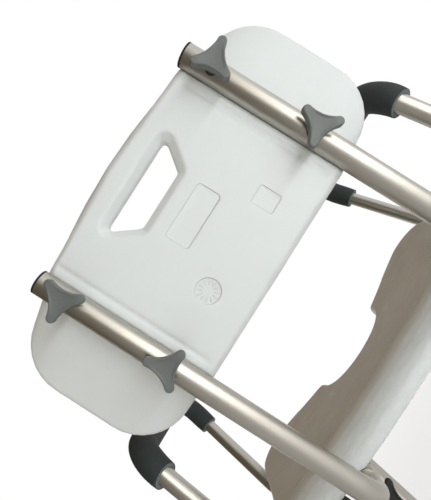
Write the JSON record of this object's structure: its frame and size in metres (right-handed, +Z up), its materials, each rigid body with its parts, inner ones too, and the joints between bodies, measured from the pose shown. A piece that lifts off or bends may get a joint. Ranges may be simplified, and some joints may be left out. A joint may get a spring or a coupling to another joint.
{
  "type": "shower chair",
  "caption": "Shower chair with a moulded seat with a hygiene cut-out, a backrest held by lobed knobs, padded arm hoops and splayed height-adjustable legs with rubber feet.",
  "frame": {"origin": "on the floor, below the middle of the overall box", "axes": "+Z up, the sitter faces -Y, +X to the sitter's left"},
  "size_m": [0.5564, 0.4969, 0.7925],
  "materials": {
    "white_plastic": "satin blow-moulded",
    "aluminium": "satin anodised",
    "grey_plastic": "fine moulded grain",
    "black_plastic": "fine moulded grain",
    "foam_grip": "matt foam",
    "rubber": "matt",
    "steel": "zinc plated",
    "brass": "plain"
  },
  "bodies": {
    "frame": {"seat": "white_plastic", "back_panel": "white_plastic", "rail_left": "aluminium", "rail_right": "aluminium", "cross_tube": "aluminium", "arm_socket_rear_left": "aluminium", "arm_socket_rear_right": "aluminium", "arm_socket_front_left": "aluminium", "arm_socket_front_right": "aluminium", "leg_sockets": "aluminium", "back_tube_left": "aluminium", "back_tube_right": "aluminium", "arm_tube_left": "aluminium", "arm_tube_right": "aluminium", "tube_saddles": "black_plastic", "tube_plugs": "black_plastic", "leg_collars": "black_plastic", "back_caps": "black_plastic", "seat_bolts": "steel", "arm_screws": "steel", "panel_inserts": "brass", "arm_grip_left": "foam_grip", "arm_grip_right": "foam_grip", "leg_upper_rear_left": "aluminium", "leg_upper_rear_right": "aluminium", "leg_upper_front_left": "aluminium", "leg_upper_front_right": "aluminium"},
    "lower_leg_rear_left": {"leg_lower_rear_left": "aluminium", "foot_rear_left": "rubber", "leg_spring_rear_left": "steel"},
    "button_rear_left": {"leg_button_rear_left": "steel"},
    "leg_knob_rear_left": {"leg_knob_rear_left": "black_plastic", "leg_stud_rear_left": "steel"},
    "lower_leg_rear_right": {"leg_lower_rear_right": "aluminium", "foot_rear_right": "rubber", "leg_spring_rear_right": "steel"},
    "button_rear_right": {"leg_button_rear_right": "steel"},
    "leg_knob_rear_right": {"leg_knob_rear_right": "black_plastic", "leg_stud_rear_right": "steel"},
    "lower_leg_front_left": {"leg_lower_front_left": "aluminium", "foot_front_left": "rubber", "leg_spring_front_left": "steel"},
    "button_front_left": {"leg_button_front_left": "steel"},
    "leg_knob_front_left": {"leg_knob_front_left": "black_plastic", "leg_stud_front_left": "steel"},
    "lower_leg_front_right": {"leg_lower_front_right": "aluminium", "foot_front_right": "rubber", "leg_spring_front_right": "steel"},
    "button_front_right": {"leg_button_front_right": "steel"},
    "leg_knob_front_right": {"leg_knob_front_right": "black_plastic", "leg_stud_front_right": "steel"},
    "back_knob_upper_left": {"back_knob_upper_left": "grey_plastic", "back_stud_upper_left": "steel"},
    "back_knob_upper_right": {"back_knob_upper_right": "grey_plastic", "back_stud_upper_right": "steel"},
    "back_knob_lower_left": {"back_knob_lower_left": "grey_plastic", "back_stud_lower_left": "steel"},
    "back_knob_lower_right": {"back_knob_lower_right": "grey_plastic", "back_stud_lower_right": "steel"}
  },
  "joints": [
    {"name": "leg_slide_rear_left", "type": "slide", "parent": "frame", "child": "lower_leg_rear_left", "axis": [0.1705, 0.1908, -0.9667], "range_m": [0, 0.1], "deforming": ["leg_button_rear_left"]},
    {"name": "leg_button_press_rear_left", "type": "slide", "parent": "lower_leg_rear_left", "child": "button_rear_left", "axis": [0.0331, -0.9816, -0.1879], "range_m": [0, 0.004], "stiffness_N_per_m": 900, "deforming": ["leg_spring_rear_left"]},
    {"name": "leg_knob_turn_rear_left", "type": "hinge", "parent": "frame", "child": "leg_knob_rear_left", "pos_m": [0.13458, 0.07581, 0.3517], "axis": [-0.0331, 0.9816, 0.1879], "continuous": true},
    {"name": "leg_slide_rear_right", "type": "slide", "parent": "frame", "child": "lower_leg_rear_right", "axis": [-0.1705, 0.1908, -0.9667], "range_m": [0, 0.1], "deforming": ["leg_button_rear_right"]},
    {"name": "leg_button_press_rear_right", "type": "slide", "parent": "lower_leg_rear_right", "child": "button_rear_right", "axis": [-0.0331, -0.9816, -0.1879], "range_m": [0, 0.004], "stiffness_N_per_m": 900, "deforming": ["leg_spring_rear_right"]},
    {"name": "leg_knob_turn_rear_right", "type": "hinge", "parent": "frame", "child": "leg_knob_rear_right", "pos_m": [-0.13458, 0.07581, 0.3517], "axis": [0.0331, 0.9816, 0.1879], "continuous": true},
    {"name": "leg_slide_front_left", "type": "slide", "parent": "frame", "child": "lower_leg_front_left", "axis": [0.1705, -0.1908, -0.9667], "range_m": [0, 0.1], "deforming": ["leg_button_front_left"]},
    {"name": "leg_button_press_front_left", "type": "slide", "parent": "lower_leg_front_left", "child": "button_front_left", "axis": [0.0331, 0.9816, -0.1879], "range_m": [0, 0.004], "stiffness_N_per_m": 900, "deforming": ["leg_spring_front_left"]},
    {"name": "leg_knob_turn_front_left", "type": "hinge", "parent": "frame", "child": "leg_knob_front_left", "pos_m": [0.13458, -0.09394, 0.3517], "axis": [-0.0331, -0.9816, 0.1879], "continuous": true},
    {"name": "leg_slide_front_right", "type": "slide", "parent": "frame", "child": "lower_leg_front_right", "axis": [-0.1705, -0.1908, -0.9667], "range_m": [0, 0.1], "deforming": ["leg_button_front_right"]},
    {"name": "leg_button_press_front_right", "type": "slide", "parent": "lower_leg_front_right", "child": "button_front_right", "axis": [-0.0331, 0.9816, -0.1879], "range_m": [0, 0.004], "stiffness_N_per_m": 900, "deforming": ["leg_spring_front_right"]},
    {"name": "leg_knob_turn_front_right", "type": "hinge", "parent": "frame", "child": "leg_knob_front_right", "pos_m": [-0.13458, -0.09394, 0.3517], "axis": [0.0331, -0.9816, 0.1879], "continuous": true},
    {"name": "back_knob_turn_upper_left", "type": "hinge", "parent": "frame", "child": "back_knob_upper_left", "pos_m": [0.131, 0.21861, 0.74887], "axis": [0, 0.9903, -0.1392], "continuous": true},
    {"name": "back_knob_turn_upper_right", "type": "hinge", "parent": "frame", "child": "back_knob_upper_right", "pos_m": [-0.131, 0.21861, 0.74887], "axis": [0, 0.9903, -0.1392], "continuous": true},
    {"name": "back_knob_turn_lower_left", "type": "hinge", "parent": "frame", "child": "back_knob_lower_left", "pos_m": [0.131, 0.20275, 0.63598], "axis": [0, 0.9903, -0.1392], "continuous": true},
    {"name": "back_knob_turn_lower_right", "type": "hinge", "parent": "frame", "child": "back_knob_lower_right", "pos_m": [-0.131, 0.20275, 0.63598], "axis": [0, 0.9903, -0.1392], "continuous": true}
  ]
}
